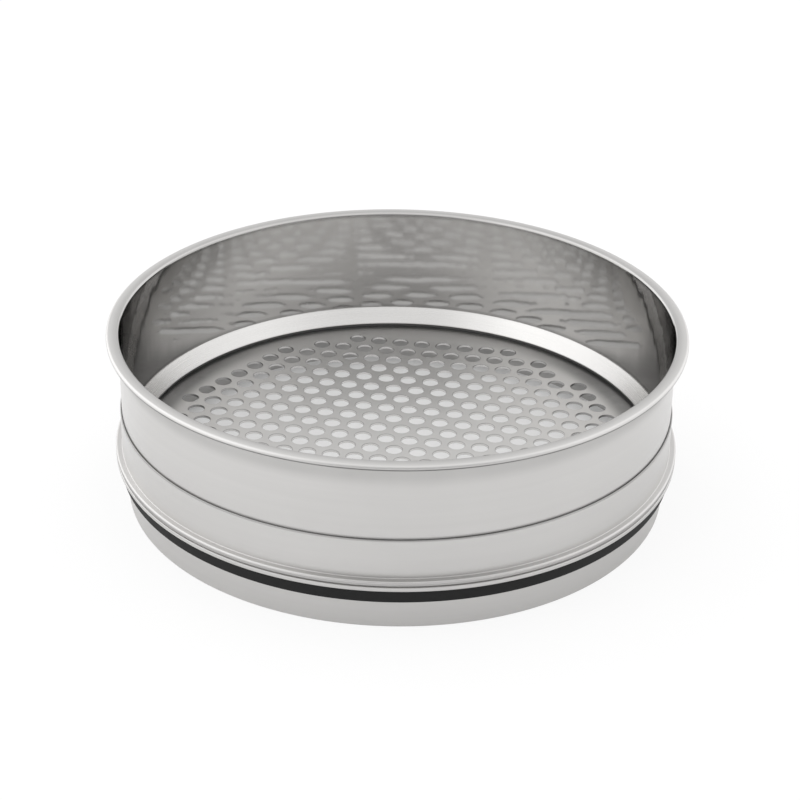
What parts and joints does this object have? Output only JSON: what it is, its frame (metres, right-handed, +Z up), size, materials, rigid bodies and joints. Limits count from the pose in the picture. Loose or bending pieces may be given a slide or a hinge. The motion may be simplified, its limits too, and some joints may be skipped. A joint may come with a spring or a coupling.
{
  "type": "laboratory test sieve",
  "caption": "Round steel test sieve: frame of two nested shells with a rolled rim, perforated plate with round holes in staggered rows, and a black stacking seal.",
  "frame": {"origin": "centre of the skirt's lower edge, on the surface the sieve stands on", "axes": "+Z up along the sieve's axis, -Y towards the front of the picture"},
  "size_m": [0.2096, 0.2096, 0.0646],
  "materials": {
    "upper_steel": "fine turned polish, bright",
    "lower_steel": "fine turned satin",
    "plate_steel": "rolled sheet, punched",
    "gasket_rubber": "matt black",
    "seal_rubber": "matt black"
  },
  "bodies": {
    "root": {"upper_shell": "upper_steel", "lower_shell": "lower_steel", "perforated_plate": "plate_steel", "plate_gasket": "gasket_rubber", "seal_ring": "seal_rubber"}
  },
  "joints": []
}
